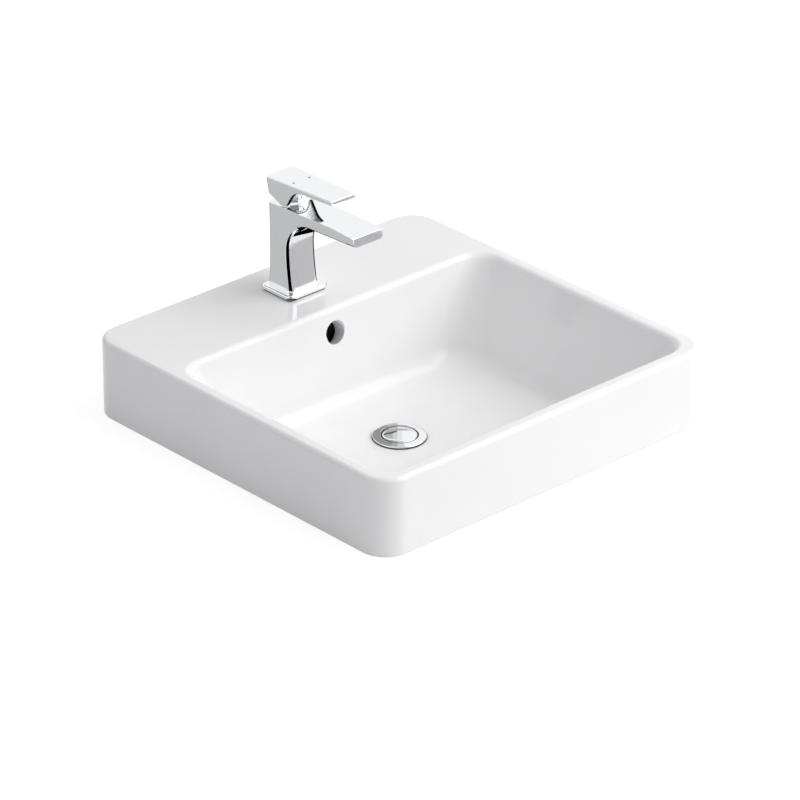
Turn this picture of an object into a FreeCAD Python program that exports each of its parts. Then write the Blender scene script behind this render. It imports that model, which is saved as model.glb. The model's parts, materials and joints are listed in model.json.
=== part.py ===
import FreeCAD, Part
import math
import os

from FreeCAD import Vector

# Countertop basin with a single-lever mixer tap and a push-to-open waste, in millimetres.
# X runs right along the front, Y towards the wall and Z up. The origin is the middle of the
# basin's plan on the counter top, where the foot of the outer wall rests.

# Basin: outer wall, rim and tap ledge
basin_width = 500.0
basin_depth = 494.0
wall_height = 96.0
plan_corner_radius = 34.0
rim_edge_radius = 6.0
foot_edge_radius = 2.5
skirt_thickness = 12.0
deck_thickness = 14.0
rim_width = 18.0
ledge_depth = 135.0

# Bowl: how far the walls lean in from rim to floor, and the fall of the floor to the waste
bowl_depth = 124.0
floor_fall = 7.0
side_lean = 50.0
front_lean = 50.0
back_lean = 12.0
bowl_corner_top = 30.0
bowl_corner_floor = 45.0
bowl_edge_radius = 8.0
floor_round_share = 0.40625
bowl_wall = 14.0
floor_thickness = 13.0

# Waste hole, its boss and the overflow passage behind the bowl
waste_seat_radius = 36.0
waste_seat_flat = 1.0
waste_hole_radius = 23.0
waste_sink_radius = 27.0
waste_sink_depth = 6.0
waste_boss_radius = 38.0
waste_boss_height = 44.0
overflow_hole_radius = 13.0
overflow_edge_radius = 2.0
overflow_below_rim = 31.0
overflow_wall = 12.0
passage_depth = 14.0
passage_width = 30.0
passage_height = 14.0
passage_cover = 8.0
passage_under_floor = 3.0
passage_bend = 18.0

# Waste body, plug and fastening
flange_radius = 32.0
flange_edge = 1.6
flange_crown = 1.0
flange_shoulder = 0.6
flange_bevel = 3.0
flange_gasket = 1.0
flange_gasket_inner = 27.5
flange_gasket_outer = 31.0
thread_radius = 20.95
waste_bore_radius = 18.5
waste_length = 80.0
relief_radius = 20.3
relief_height = 2.0
cup_radius = 22.4
cup_wall = 0.9
cup_depth = 4.6
seat_slope = 2.4
window_width = 16.0
window_height = 11.0
spider_drop = 36.0
spider_height = 9.0
spider_arm = 4.0
spider_boss_radius = 11.0
cone_washer_height = 12.0
cone_washer_radius = 29.0
slip_washer_height = 2.0
slip_washer_radius = 28.0
backnut_across_flats = 55.0
backnut_height = 9.0

plug_gap = 0.6
plug_crown = 1.6
plug_edge = 2.2
plug_boss_radius = 7.0
plug_boss_height = 5.0
plug_seal_height = 1.5
plug_seal_inner = 15.0
plug_seal_inset = 1.1
plug_travel = 8.5
stem_radius = 4.0
latch_radius = 8.0
latch_collar_radius = 9.6
latch_collar_height = 2.0
latch_length = 36.0
latch_wall = 1.8
latch_roof = 4.0
piston_height = 3.0
spring_wire_radius = 0.6
spring_turns = 6

# Tap: place on the ledge, base plate and body
tap_from_back = 69.0
tap_hole_radius = 17.5
base_gasket_height = 1.0
base_gasket_inset = 2.0
plate_width = 60.0
plate_depth = 52.8
plate_back = 1.7
plate_height = 6.0
plate_corner_radius = 7.0
plate_edge_radius = 2.6
spigot_radius = 16.0
spigot_reach = 6.0
body_height = 111.0
foot_half_width = 22.3
waist_half_width = 22.1
shoulder_half_width = 22.5
waist_rise = 48.0
foot_back = 22.9
waist_back = 20.6
shoulder_back = 21.5
foot_front = 17.0
waist_front = 12.0
column_curve = 140.0
arch_radius = 38.0
arch_drop = 14.0
spout_reach = 125.0
spout_knee = 83.0
spout_rise = 3.5
tip_drop = 1.0
tip_height = 11.6
tip_rake = 0.8
body_edge_radius = 6.5

# Round recess for the dome in the spout's flat top
recess_depth = 7.0

# Cartridge socket, water ways and aerator
socket_radius = 12.7
socket_floor_drop = 22.0
nut_thread_radius = 14.2
inlet_radius = 4.5
inlet_depth = 14.0
inlet_recess = 14.0
inlet_recess_radius = 5.5
inlet_half_spacing = 8.0
inlet_front = 2.0
feed_radius = 3.0
water_way_radius = 2.0
water_way_knee = 67.5
water_way_drop = 6.8
aerator_bore_radius = 9.0
aerator_from_tip = 14.0
aerator_bore_depth = 7.2
aerator_wall = 1.6
aerator_jet_radius = 1.1
aerator_jet_pitch = 3.2
aerator_inset = 0.8

# Cartridge, from its base upwards
cartridge_base_height = 4.2
base_seal_height = 1.0
base_seal_margin = 0.25
base_seal_inner = 3.0
disc_height = 3.0
fixed_disc_radius = 9.2
moving_disc_radius = 7.0
mixing_radius = 5.0
disc_port_radius = 1.6
disc_port_half_spacing = 5.5
outlet_half_width = 2.0
outlet_start = 4.0
carrier_height = 5.0
housing_outer = 12.5
housing_neck = 11.3
housing_bore = 9.8
housing_shoulder = 5.8
housing_height = 16.8
rotor_radius = 9.5
rotor_height = 12.5
pivot_rise = 1.0
pivot_pin_radius = 1.5
spindle_thickness = 6.0
spindle_depth = 7.0
spindle_top = 26.0
ball_radius = 2.4
ball_arm = 10.0
ball_neck_radius = 1.6
lift_angle = 25.0
nut_height = 5.0
nut_collar_radius = 12.8
nut_collar_height = 4.0
nut_notch = 4.0
dome_radius = 17.5
dome_wall = 1.8
dome_mouth_radius = 13.0

# Lever, in the plane of symmetry: heights over the body's top and distances from the tap's axis
lever_rear = 27.0
lever_reach = 84.0
lever_top_rear = 29.8
lever_top_tip = 33.3
lever_tip_height = 5.1
lever_rear_drop = 18.0
lever_rear_rake = 3.5
lever_rear_corner_radius = 5.0
neck_bottom = 2.6
neck_back = 3.3
neck_back_rise = 0.8
neck_front = 8.0
neck_top_front = 21.8
neck_top_height = 25.3
neck_round = 18.0
lever_rear_half_width = 21.5
lever_tip_half_width = 18.0
lever_edge_radius = 0.8
grub_screw_radius = 2.5
grub_screw_length = 9.0
grub_screw_height = 21.0
dot_radius = 1.3
dot_depth = 0.6
dot_half_spacing = 11.8
dot_front = 12.5

# Tap fastening under the ledge
stud_radius = 4.0
stud_length = 56.0
stud_grip = 12.0
stud_back = 11.0
washer_radius = 26.0
washer_slot_half_width = 15.0
washer_height = 2.5
washer_gasket_height = 2.0
stud_nut_across_flats = 13.0
stud_nut_height = 10.0

# Clearances
slip_clearance = 0.3
ball_clearance = 0.5
running_clearance = 0.05
thread_clearance = 0.2

# Heights and places that follow from the sizes above
deck_z = wall_height
rim_half_width = basin_width / 2 - rim_width
rim_front = -(basin_depth / 2 - rim_width)
rim_back = basin_depth / 2 - ledge_depth
floor_round = floor_round_share * (rim_back - back_lean - waste_seat_radius)
seat_z = wall_height - bowl_depth
floor_edge_z = seat_z + floor_fall
boss_bottom = seat_z - waste_boss_height
flange_bottom = seat_z + flange_gasket
flange_top = flange_bottom + flange_edge + flange_crown
plug_radius = cup_radius - plug_gap
cup_floor = flange_top - cup_depth
waste_end = seat_z - waste_length
spider_top = seat_z - spider_drop
tap_y = basin_depth / 2 - tap_from_back
plate_bottom = deck_z + base_gasket_height
plate_top = plate_bottom + plate_height
body_top = deck_z + body_height
tip_top = body_top + spout_rise - tip_drop
recess_floor = body_top - recess_depth
socket_floor = body_top - socket_floor_drop
pivot_z = body_top + pivot_rise
aerator_y = tap_y - spout_reach + aerator_from_tip
disc_z = socket_floor + cartridge_base_height
base_seal_outer = socket_radius - math.hypot(inlet_half_spacing, inlet_front) - base_seal_margin
carrier_z = disc_z + 2 * disc_height + running_clearance
carrier_top = carrier_z + carrier_height
disc_travel = ball_arm * math.radians(lift_angle)
ledge_bottom = deck_z - deck_thickness
washer_bottom = ledge_bottom - washer_gasket_height - washer_height


# Small helpers for wires and plain solids

def rounded_wire(points, radii):
    """Closed wire through 3-D points in one plane, each corner rounded by a tangent arc."""
    edges = []
    starts = []
    ends = []
    count = len(points)
    for i in range(count):
        corner = points[i]
        to_last = (points[i - 1] - corner).normalize()
        to_next = (points[(i + 1) % count] - corner).normalize()
        half = to_last.getAngle(to_next) / 2
        if radii[i] == 0:
            starts.append(corner)
            ends.append(corner)
            edges.append(None)
            continue
        reach = radii[i] / math.tan(half)
        start = corner + to_last * reach
        end = corner + to_next * reach
        inward = (to_last + to_next).normalize()
        middle = corner + inward * (radii[i] / math.sin(half) - radii[i])
        starts.append(start)
        ends.append(end)
        edges.append(Part.Arc(start, middle, end).toShape())
    chain = []
    for i in range(count):
        if edges[i] is not None:
            chain.append(edges[i])
        chain.append(Part.makeLine(ends[i], starts[(i + 1) % count]))
    return Part.Wire(chain)


def plan_wire(x0, x1, y0, y1, radius, z):
    corners = [Vector(x1, y0, z), Vector(x1, y1, z), Vector(x0, y1, z), Vector(x0, y0, z)]
    return rounded_wire(corners, [radius] * 4)


def side_prism(outline, radii, half_width):
    """Solid with a (y, z) outline, as wide as twice half_width."""
    points = [Vector(-half_width, y, z) for y, z in outline]
    return Part.Face(rounded_wire(points, radii)).extrude(Vector(2 * half_width, 0, 0))


def skinned(wires):
    """Solid through level wires of like edges: flat between lines, ruled between arcs."""
    faces = [Part.Face(wires[0]), Part.Face(wires[-1])]
    for upper, lower in zip(wires, wires[1:]):
        for a, b in zip(upper.Edges, lower.Edges):
            if isinstance(a.Curve, Part.Line):
                corners = [a.valueAt(a.FirstParameter), a.valueAt(a.LastParameter),
                           b.valueAt(b.LastParameter), b.valueAt(b.FirstParameter)]
                faces.append(Part.Face(Part.makePolygon(corners + [corners[0]])))
            else:
                faces.append(Part.makeRuledSurface(a, b))
    shell = Part.makeShell(faces)
    shell.sewShape()
    return Part.makeSolid(shell)


def cylinder(radius, bottom, top, x=0.0, y=0.0):
    return Part.makeCylinder(radius, top - bottom, Vector(x, y, bottom))


def ring(outer, inner, bottom, top, x=0.0, y=0.0):
    return cylinder(outer, bottom, top, x, y).cut(cylinder(inner, bottom, top, x, y))


def turned(outline, y=0.0):
    """Solid of revolution about the vertical axis at x = 0, from an (r, z) outline."""
    points = [Vector(r, y, z) for r, z in outline]
    wire = Part.makePolygon(points + [points[0]])
    return Part.Face(wire).revolve(Vector(0, y, 0), Vector(0, 0, 1), 360)


def box(x0, x1, y0, y1, z0, z1):
    return Part.makeBox(x1 - x0, y1 - y0, z1 - z0, Vector(x0, y0, z0))


def hexagon(across_flats, bottom, top, x=0.0, y=0.0):
    corner = across_flats / math.sqrt(3)
    turns = [math.radians(60 * i) for i in range(6)]
    points = [Vector(x + corner * math.cos(a), y + corner * math.sin(a), bottom) for a in turns]
    return Part.Face(Part.makePolygon(points + [points[0]])).extrude(Vector(0, 0, top - bottom))


def edges_where(shape, test):
    return [e for e in shape.Edges if test(e.CenterOfMass, e.BoundBox)]


def save(node, shape):
    shape.exportStep(os.path.join("parts", node + ".step"))


# Basin

def bowl_section(z, grow):
    """Wall section of the bowl at height z, moved out by grow."""
    part = (wall_height - z) / (wall_height - floor_edge_z)
    half = rim_half_width - side_lean * part + grow
    front = rim_front + front_lean * part - grow
    back = rim_back - back_lean * part + grow
    radius = bowl_corner_top + (bowl_corner_floor - bowl_corner_top) * part + grow
    return plan_wire(-half, half, front, back, radius, z)


def bowl_form(top, grow, drop):
    """Bowl as a solid: leaning walls, a rounded turn and a floor that falls to the waste."""
    seat = waste_seat_radius
    seat_wire = plan_wire(-seat, seat, -seat, seat, seat - waste_seat_flat, seat_z - drop)
    floor = bowl_section(floor_edge_z, grow).translated(Vector(0, 0, -drop))
    form = skinned([bowl_section(top, grow), floor, seat_wire])
    level = floor_edge_z - drop
    turn = edges_where(form, lambda c, b: b.ZLength < 0.01 and abs(c.z - level) < 0.01)
    return form.makeFillet(floor_round + grow, turn)


def bowl_back(z):
    """Y of the bowl's back wall at height z."""
    return rim_back - back_lean * (wall_height - z) / (wall_height - floor_edge_z)


def passage(grow, half_width, top):
    """Overflow passage: down behind the bowl's back wall and forward to the waste."""
    roof = seat_z - floor_thickness - passage_under_floor
    floor = roof - passage_height
    near = overflow_wall
    far = overflow_wall + passage_depth
    outline = [
        (bowl_back(top) + near - grow, top),
        (bowl_back(top) + far + grow, top),
        (bowl_back(floor) + far + grow, floor - grow),
        (0.0, floor - grow),
        (0.0, roof + grow),
        (bowl_back(roof) + near - grow, roof + grow),
    ]
    radii = [0, 0, passage_bend + grow, 0, 0, 0]
    return side_prism(outline, radii, half_width)


def basin_body():
    half_x = basin_width / 2
    half_y = basin_depth / 2
    block_wire = plan_wire(-half_x, half_x, -half_y, half_y, plan_corner_radius, 0)
    block = Part.Face(block_wire).extrude(Vector(0, 0, wall_height))
    top = edges_where(block, lambda c, b: b.ZLength < 0.01 and c.z > wall_height / 2)
    block = block.makeFillet(rim_edge_radius, top)
    foot = edges_where(block, lambda c, b: b.ZLength < 0.01 and c.z < 0.01)
    block = block.makeFillet(foot_edge_radius, foot)
    inner_x = half_x - skirt_thickness
    inner_y = half_y - skirt_thickness
    inner_wire = plan_wire(-inner_x, inner_x, -inner_y, inner_y, plan_corner_radius - skirt_thickness, 0)
    hollow = Part.Face(inner_wire).extrude(Vector(0, 0, ledge_bottom))
    body = block.cut(hollow)
    body = body.fuse(bowl_form(wall_height - rim_edge_radius, bowl_wall, floor_thickness))
    body = body.fuse(passage(passage_cover, passage_width / 2 + passage_cover, ledge_bottom))
    body = body.fuse(cylinder(waste_boss_radius, boss_bottom, seat_z))
    body = body.cut(bowl_form(wall_height + rim_edge_radius, 0, 0))
    overflow_z = wall_height - overflow_below_rim
    body = body.cut(passage(0, passage_width / 2, overflow_z + overflow_hole_radius))
    body = body.cut(cylinder(waste_hole_radius, boss_bottom, seat_z))
    sink = Part.makeCone(waste_hole_radius, waste_sink_radius, waste_sink_depth,
                         Vector(0, 0, seat_z - waste_sink_depth))
    body = body.cut(sink)
    body = body.cut(cylinder(tap_hole_radius, ledge_bottom, deck_z, 0, tap_y))
    body = body.cut(overflow_hole(overflow_z))
    rim = edges_where(body, lambda c, b: abs(b.ZMin - wall_height) < 0.01 and b.ZLength < 0.01
                      and abs(c.x) < rim_half_width + 1 and rim_front - 1 < c.y < rim_back + 1)
    return body.makeFillet(bowl_edge_radius, rim).removeSplitter()


def overflow_hole(z):
    """Round hole square to the back wall, with its glazed edge eased, as a cutting tool."""
    lean = back_lean / (wall_height - floor_edge_z)
    inward = Vector(0, 1, -lean).normalize()
    mouth = Vector(0, bowl_back(z), z)
    hole = Part.makeCylinder(overflow_hole_radius, overflow_wall + passage_depth / 2, mouth, inward)
    wide = overflow_hole_radius + overflow_edge_radius
    eased = Part.makeCone(2 * wide, 0, 2 * wide, mouth - inward * wide, inward)
    return hole.fuse(eased.common(Part.makeCylinder(wide, 2 * wide, mouth - inward * wide, inward)))


# Waste

def waste_body():
    cup_outer = cup_radius + cup_wall
    tube_top = cup_floor - seat_slope
    neck = tube_top - seat_slope
    body = turned([
        (flange_radius, flange_bottom),
        (flange_radius, flange_bottom + flange_edge),
        (flange_radius - flange_crown, flange_bottom + flange_edge + flange_shoulder),
        (flange_radius - flange_bevel, flange_top),
        (cup_radius + flange_crown, flange_top),
        (cup_radius, flange_top - flange_crown),
        (cup_radius, cup_floor),
        (plug_seal_inner + plug_seal_inset + seat_slope, cup_floor),
        (waste_bore_radius, tube_top),
        (waste_bore_radius, waste_end),
        (thread_radius, waste_end),
        (thread_radius, neck),
        (cup_outer, tube_top),
        (cup_outer, flange_bottom),
    ])
    nut_bottom = boss_bottom - cone_washer_height - slip_washer_height - backnut_height
    body = body.cut(ring(thread_radius, relief_radius, nut_bottom - relief_height, nut_bottom))
    window_top = seat_z - floor_thickness - passage_under_floor
    for turn in (0, 90):
        half = window_width / 2
        slot = box(-waste_hole_radius, waste_hole_radius, -half, half, window_top - window_height, window_top)
        slot.rotate(Vector(0, 0, 0), Vector(0, 0, 1), turn + 45)
        body = body.cut(slot)
    spider_bottom = spider_top - spider_height
    boss = cylinder(spider_boss_radius, spider_bottom, spider_top)
    for turn in (30, 150, 270):
        arm = box(0, (thread_radius + waste_bore_radius) / 2, -spider_arm / 2, spider_arm / 2,
                  spider_bottom, spider_top)
        arm.rotate(Vector(0, 0, 0), Vector(0, 0, 1), turn)
        boss = boss.fuse(arm)
    body = body.fuse(boss)
    return body.cut(cylinder(latch_radius + running_clearance, spider_bottom, spider_top)).removeSplitter()


def waste_fastening():
    cone_bottom = boss_bottom - cone_washer_height
    inner = thread_radius + thread_clearance
    cone = turned([
        (inner, cone_bottom),
        (cone_washer_radius, cone_bottom),
        (cone_washer_radius, boss_bottom - cone_washer_height / 3),
        (waste_hole_radius + flange_crown, boss_bottom),
        (inner, boss_bottom),
    ])
    slip_bottom = cone_bottom - slip_washer_height
    slip = ring(slip_washer_radius, inner, slip_bottom, cone_bottom)
    nut_bottom = slip_bottom - backnut_height
    nut = hexagon(backnut_across_flats, nut_bottom, slip_bottom).cut(cylinder(inner, nut_bottom, slip_bottom))
    return cone, slip, nut


def plug_cap():
    edge_top = flange_top - plug_gap
    edge_bottom = edge_top - plug_edge
    top = edge_top + plug_crown
    crown_radius = (plug_radius ** 2 + plug_crown ** 2) / (2 * plug_crown)
    halfway = math.sqrt(crown_radius ** 2 - plug_radius ** 2 / 4) - crown_radius + top
    crown = Part.Arc(Vector(plug_radius, 0, edge_top), Vector(plug_radius / 2, 0, halfway),
                     Vector(0, 0, top)).toShape()
    rest = [Vector(0, 0, top), Vector(0, 0, edge_bottom - plug_boss_height),
            Vector(plug_boss_radius, 0, edge_bottom - plug_boss_height),
            Vector(plug_boss_radius, 0, edge_bottom), Vector(plug_radius, 0, edge_bottom),
            Vector(plug_radius, 0, edge_top)]
    lines = [Part.makeLine(rest[i], rest[i + 1]) for i in range(len(rest) - 1)]
    cap = Part.Face(Part.Wire([crown] + lines)).revolve(Vector(0, 0, 0), Vector(0, 0, 1), 360)
    socket = cylinder(stem_radius + running_clearance, edge_bottom - plug_boss_height, edge_bottom)
    return cap.cut(socket)


def plug_seal():
    top = flange_top - plug_gap - plug_edge
    return ring(plug_radius - plug_seal_inset, plug_seal_inner, top - plug_seal_height, top)


def latch_bottom():
    return spider_top + latch_collar_height - latch_length


def piston_bottom():
    roof = spider_top + latch_collar_height - latch_roof
    return roof - slip_clearance - plug_travel - piston_height


def latch_body():
    top = spider_top + latch_collar_height
    body = cylinder(latch_radius, latch_bottom(), top)
    body = body.fuse(cylinder(latch_collar_radius, spider_top, top))
    body = body.cut(cylinder(latch_radius - latch_wall, latch_bottom() + latch_wall, top - latch_roof))
    return body.cut(cylinder(stem_radius + running_clearance, top - latch_roof, top)).removeSplitter()


def plug_stem():
    top = flange_top - plug_gap - plug_edge
    stem = cylinder(stem_radius, piston_bottom(), top)
    piston_radius = latch_radius - latch_wall - slip_clearance
    return stem.fuse(cylinder(piston_radius, piston_bottom(), piston_bottom() + piston_height)).removeSplitter()


def plug_spring():
    """Compression spring under the piston, one wire on quarter-turn arcs."""
    radius = latch_radius - latch_wall - slip_clearance - 2 * spring_wire_radius
    low = latch_bottom() + latch_wall + spring_wire_radius
    high = piston_bottom() - spring_wire_radius - slip_clearance
    pitch = (high - low) / spring_turns

    def on_helix(turns):
        angle = 2 * math.pi * turns
        return Vector(radius * math.cos(angle), radius * math.sin(angle), low + pitch * turns)

    arcs = []
    for quarter in range(4 * spring_turns):
        start = quarter / 4
        arcs.append(Part.Arc(on_helix(start), on_helix(start + 0.125), on_helix(start + 0.25)).toShape())
    path = Part.Wire(arcs)
    heading = arcs[0].tangentAt(arcs[0].FirstParameter)
    section = Part.Wire(Part.makeCircle(spring_wire_radius, on_helix(0), heading))
    return path.makePipeShell([section], True, False)


# Tap body and base

def plate_outline(inset, z):
    half_x = plate_width / 2 - inset
    half_y = plate_depth / 2 - inset
    middle = tap_y + plate_back
    return plan_wire(-half_x, half_x, middle - half_y, middle + half_y, plate_corner_radius - inset, z)


def base_plate():
    plate = Part.Face(plate_outline(0, plate_bottom)).extrude(Vector(0, 0, plate_height))
    rim = edges_where(plate, lambda c, b: b.ZLength < 0.01)
    plate = plate.makeFillet(plate_edge_radius, rim)
    return plate.cut(cylinder(spigot_radius + thread_clearance, plate_bottom, plate_top, 0, tap_y))


def base_gasket():
    sheet = Part.Face(plate_outline(base_gasket_inset, deck_z)).extrude(Vector(0, 0, base_gasket_height))
    return sheet.cut(cylinder(spigot_radius + thread_clearance, deck_z, plate_bottom, 0, tap_y))


def body_side():
    """Side outline of column, arch and spout."""
    waist_z = plate_top + waist_rise
    tip_y = tap_y - spout_reach
    arch_z = body_top - arch_drop
    outline = [
        (tap_y + foot_back, plate_top),
        (tap_y + waist_back, waist_z),
        (tap_y + shoulder_back, body_top),
        (tap_y - spout_knee, body_top + spout_rise),
        (tip_y, tip_top),
        (tip_y - tip_rake, tip_top - tip_height),
        (tap_y - waist_front, arch_z),
        (tap_y - waist_front, waist_z),
        (tap_y - foot_front, plate_top),
    ]
    return side_prism(outline, [0, column_curve, 0, 0, 0, 0, arch_radius, column_curve / 4, 0],
                      2 * shoulder_half_width)


def body_front():
    """Front outline: a foot, a slight waist and a wider shoulder."""
    y = tap_y + foot_back + plate_depth
    waist_z = plate_top + waist_rise
    top = body_top + 2 * spout_rise
    right = [Vector(foot_half_width, y, plate_top), Vector(waist_half_width, y, waist_z),
             Vector(shoulder_half_width, y, top)]
    left = [Vector(-p.x, p.y, p.z) for p in reversed(right)]
    wire = rounded_wire(right + left, [0, column_curve, 0, 0, column_curve, 0])
    return Part.Face(wire).extrude(Vector(0, -(spout_reach + 2 * plate_depth), 0))


def water_way():
    """Way for the mixed water: up from the socket's wall, then level along the spout."""
    rise_end = Vector(0, tap_y - water_way_knee, tip_top - water_way_drop)
    socket_wall = Vector(0, tap_y - housing_bore, disc_z + disc_height)
    outlet = Vector(0, aerator_y, rise_end.z)
    slope = rise_end - socket_wall
    level = outlet - rise_end
    way = Part.makeCylinder(water_way_radius, slope.Length, socket_wall, slope)
    way = way.fuse(Part.makeCylinder(water_way_radius, level.Length, rise_end, level))
    return way.fuse(Part.makeSphere(water_way_radius, rise_end))


def tap_body():
    body = body_side().common(body_front())
    front_edges = edges_where(body, lambda c, b: abs(c.x) > waist_half_width - 2
                              and c.y < tap_y and c.z < tip_top - tip_height + body_edge_radius / 2
                              and c.z > plate_top + 1)
    body = body.makeFillet(body_edge_radius, front_edges)
    spigot_bottom = deck_z - spigot_reach
    body = body.fuse(cylinder(spigot_radius, spigot_bottom, plate_top, 0, tap_y))
    body = body.cut(cylinder(dome_radius + slip_clearance, recess_floor, body_top + spout_rise, 0, tap_y))
    body = body.cut(cylinder(socket_radius, socket_floor, recess_floor, 0, tap_y))
    body = body.cut(cylinder(nut_thread_radius, recess_floor - nut_height, recess_floor, 0, tap_y))
    body = body.cut(water_way())
    thread_bottom = spigot_bottom + inlet_recess
    for side in (-1, 1):
        x = side * inlet_half_spacing
        y = tap_y - inlet_front
        body = body.cut(cylinder(inlet_recess_radius, spigot_bottom, thread_bottom, x, y))
        body = body.cut(cylinder(inlet_radius, thread_bottom, thread_bottom + inlet_depth, x, y))
        body = body.cut(cylinder(feed_radius, thread_bottom + inlet_depth, socket_floor, x, y))
    body = body.cut(cylinder(stud_radius + running_clearance, spigot_bottom, spigot_bottom + stud_grip,
                             0, tap_y + stud_back))
    spout_bottom = tip_top - tip_height - body_edge_radius
    return body.cut(cylinder(aerator_bore_radius, spout_bottom, aerator_top(), 0, aerator_y)).removeSplitter()


def aerator_top():
    return tip_top - tip_height + aerator_bore_depth


# Aerator

def aerator():
    radius = aerator_bore_radius - running_clearance
    bottom = tip_top - tip_height
    seal_bottom = aerator_top() - base_seal_height
    housing = ring(radius, radius - aerator_wall, bottom, seal_bottom, 0, aerator_y)
    insert_radius = radius - aerator_wall - running_clearance
    insert = cylinder(insert_radius, bottom + aerator_inset, seal_bottom, 0, aerator_y)
    for row in range(-1, 2):
        for column in range(-1, 2):
            x = column * aerator_jet_pitch
            y = aerator_y + row * aerator_jet_pitch
            insert = insert.cut(cylinder(aerator_jet_radius, bottom, aerator_top(), x, y))
    seal = ring(radius, insert_radius - aerator_wall, seal_bottom, aerator_top(), 0, aerator_y)
    return housing, insert, seal


# Cartridge

def ports(radius, bottom, top):
    """Two inlet ports over the body's feeds, as one tool."""
    tool = None
    for side in (-1, 1):
        port = cylinder(radius, bottom, top, side * inlet_half_spacing, tap_y - inlet_front)
        tool = port if tool is None else tool.fuse(port)
    return tool


def cartridge_base():
    base = cylinder(socket_radius - running_clearance, socket_floor, disc_z, 0, tap_y)
    base = base.cut(ports(base_seal_inner - thread_clearance, socket_floor, disc_z))
    return base.cut(ports(base_seal_outer, socket_floor, socket_floor + base_seal_height))


def base_seals():
    seals = ports(base_seal_outer - running_clearance, socket_floor, socket_floor + base_seal_height)
    return seals.cut(ports(base_seal_inner, socket_floor, socket_floor + base_seal_height))


def outlet_slot(top):
    """Way out for mixed water: forward through the fixed disc's rim and the housing's wall."""
    return box(-outlet_half_width, outlet_half_width, tap_y - socket_radius, tap_y - outlet_start, disc_z, top)


def fixed_disc():
    top = disc_z + disc_height
    disc = cylinder(fixed_disc_radius, disc_z, top, 0, tap_y)
    for side in (-1, 1):
        x = side * disc_port_half_spacing
        disc = disc.cut(cylinder(disc_port_radius, disc_z, top, x, tap_y - inlet_front))
    return disc.cut(outlet_slot(top))


def moving_disc():
    centre = tap_y + disc_travel / 2
    bottom = disc_z + disc_height + running_clearance
    disc = cylinder(moving_disc_radius, bottom, carrier_z, 0, centre)
    mixing = cylinder(mixing_radius, bottom, bottom + disc_height / 2, 0, centre)
    return disc.cut(mixing)


def disc_carrier():
    carrier = cylinder(moving_disc_radius, carrier_z, carrier_top, 0, tap_y + disc_travel / 2)
    return carrier.cut(cylinder(ball_radius + ball_clearance, carrier_z, carrier_top, 0, tap_y))


def cartridge_housing():
    low = disc_z
    body = cylinder(housing_outer, low, low + housing_shoulder, 0, tap_y)
    body = body.fuse(cylinder(housing_neck, low, low + housing_height, 0, tap_y))
    body = body.cut(cylinder(housing_bore, low, low + housing_height, 0, tap_y))
    return body.cut(outlet_slot(low + housing_shoulder)).removeSplitter()


def rotor():
    low = carrier_top + slip_clearance
    body = cylinder(rotor_radius, low, low + rotor_height, 0, tap_y)
    half_x = spindle_thickness / 2 + slip_clearance
    half_y = spindle_depth / 2 + rotor_height / 2 * math.tan(math.radians(lift_angle)) + slip_clearance
    body = body.cut(box(-half_x, half_x, tap_y - half_y, tap_y + half_y, low, low + rotor_height))
    return body.cut(across_pivot(pivot_pin_radius + running_clearance, rotor_radius))


def across_pivot(radius, half_length):
    return Part.makeCylinder(radius, 2 * half_length, Vector(-half_length, tap_y, pivot_z), Vector(1, 0, 0))


def pivot_pin():
    return across_pivot(pivot_pin_radius, rotor_radius - slip_clearance)


def spindle():
    half_x = spindle_thickness / 2
    half_y = spindle_depth / 2
    ball_z = pivot_z - ball_arm
    shank = box(-half_x, half_x, tap_y - half_y, tap_y + half_y, ball_z + 2 * ball_radius, pivot_z + spindle_top)
    neck = cylinder(ball_neck_radius, ball_z, ball_z + 2 * ball_radius, 0, tap_y)
    bar = shank.fuse(neck).fuse(Part.makeSphere(ball_radius, Vector(0, tap_y, ball_z)))
    return bar.cut(across_pivot(pivot_pin_radius, rotor_radius)).removeSplitter()


def cartridge_nut():
    bottom = recess_floor - nut_height
    inner = housing_neck + thread_clearance
    nut = ring(nut_thread_radius - thread_clearance, inner, bottom, recess_floor, 0, tap_y)
    collar_top = recess_floor + nut_collar_height
    nut = nut.fuse(ring(nut_collar_radius, inner, recess_floor, collar_top, 0, tap_y))
    for turn in (0, 90):
        notch = box(-nut_collar_radius, nut_collar_radius, -nut_notch / 2, nut_notch / 2,
                    collar_top - nut_collar_height / 2, collar_top)
        notch.rotate(Vector(0, 0, 0), Vector(0, 0, 1), turn)
        notch.translate(Vector(0, tap_y, 0))
        nut = nut.cut(notch)
    return nut.removeSplitter()


def dome_cap():
    centre = Vector(0, tap_y, pivot_z)
    dome = Part.makeSphere(dome_radius, centre).cut(Part.makeSphere(dome_radius - dome_wall, centre))
    dome = dome.cut(cylinder(dome_radius, pivot_z - dome_radius, recess_floor, 0, tap_y))
    return dome.cut(cylinder(dome_mouth_radius, pivot_z, pivot_z + dome_radius, 0, tap_y))


# Lever

def lever_side():
    top_rear = body_top + lever_top_rear
    top_tip = body_top + lever_top_tip
    tip_y = tap_y - lever_reach
    outline = [
        (tap_y + lever_rear, top_rear),
        (tip_y, top_tip),
        (tip_y, top_tip - lever_tip_height),
        (tap_y - neck_top_front, body_top + neck_top_height),
        (tap_y - neck_front, body_top + neck_bottom),
        (tap_y + neck_back, body_top + neck_bottom + neck_back_rise),
        (tap_y + lever_rear - lever_rear_rake, top_rear - lever_rear_drop),
    ]
    edge = lever_edge_radius
    return side_prism(outline, [edge, edge, edge, neck_round, edge, edge, edge], 2 * lever_rear_half_width)


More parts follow.
